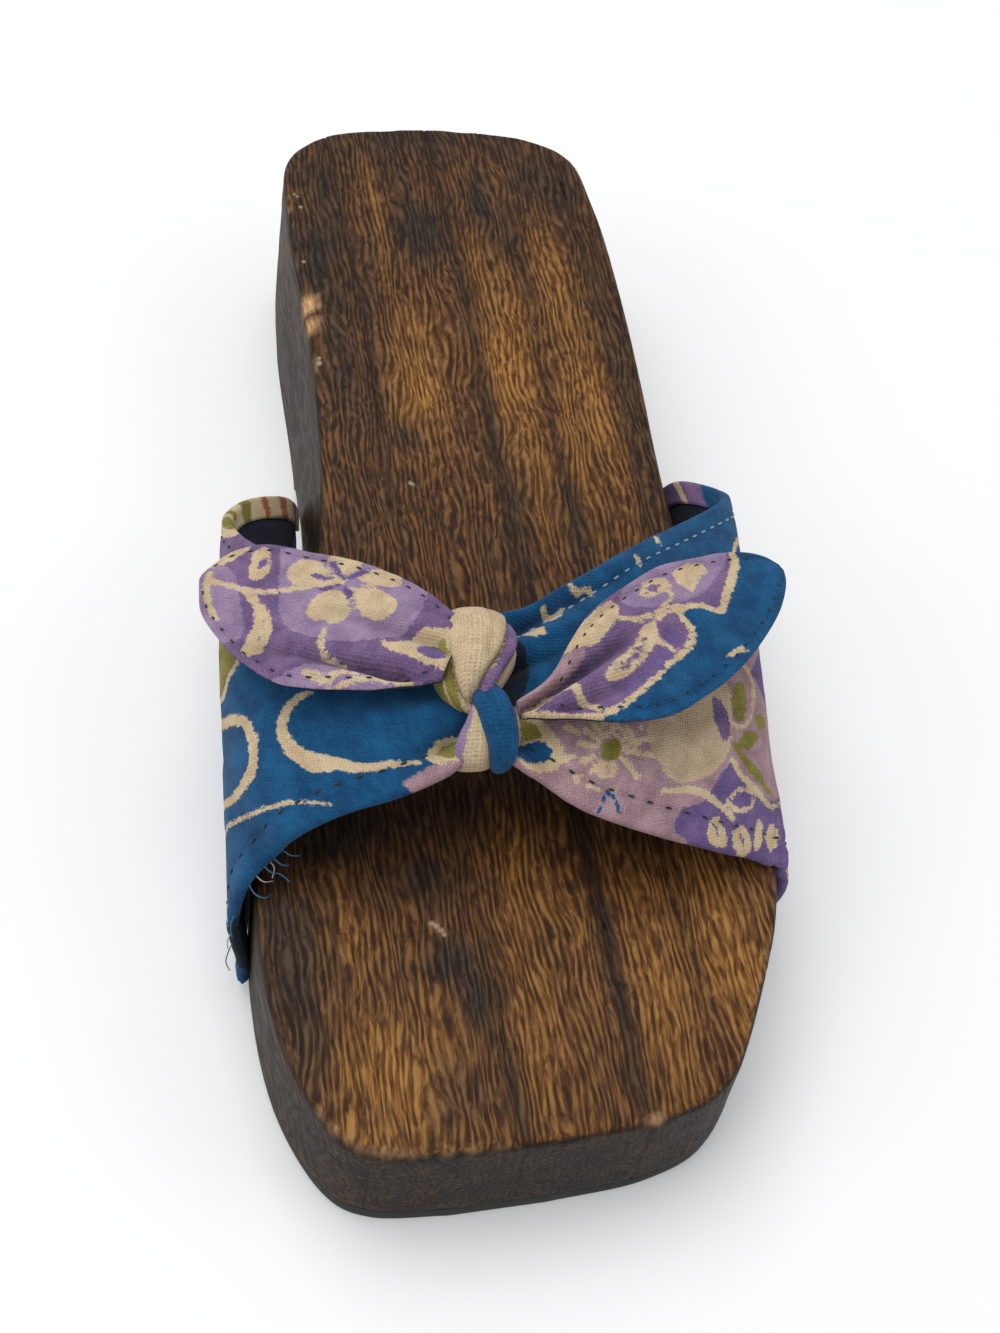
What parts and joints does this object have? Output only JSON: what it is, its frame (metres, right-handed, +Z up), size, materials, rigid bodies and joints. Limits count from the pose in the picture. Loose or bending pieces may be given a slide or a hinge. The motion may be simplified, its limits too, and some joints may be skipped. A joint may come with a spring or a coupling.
{
  "type": "geta-style slide sandal",
  "caption": "Left slide sandal: scorched wooden wedge sole on two thin rubber pads, wide printed cotton strap knotted in the middle with two leaf-shaped tails.",
  "frame": {"origin": "middle of the whole sandal's box, on the floor it stands on", "axes": "+Z up from the floor, +Y from the toe to the heel, +X to the wearer's left side, which is the outer side of this left sandal"},
  "size_m": [0.11, 0.2436, 0.0629],
  "materials": {
    "scorched_paulownia": "scorched, brushed and waxed, satin",
    "black_rubber": "matte",
    "printed_cotton": "plain-woven printed cotton over a dark blue lining"
  },
  "bodies": {
    "root": {"sole": "scorched_paulownia", "outsole_front": "black_rubber", "outsole_heel": "black_rubber", "upper": "printed_cotton", "knot": "printed_cotton", "bow_tail_left": "printed_cotton", "bow_tail_right": "printed_cotton"}
  },
  "joints": []
}
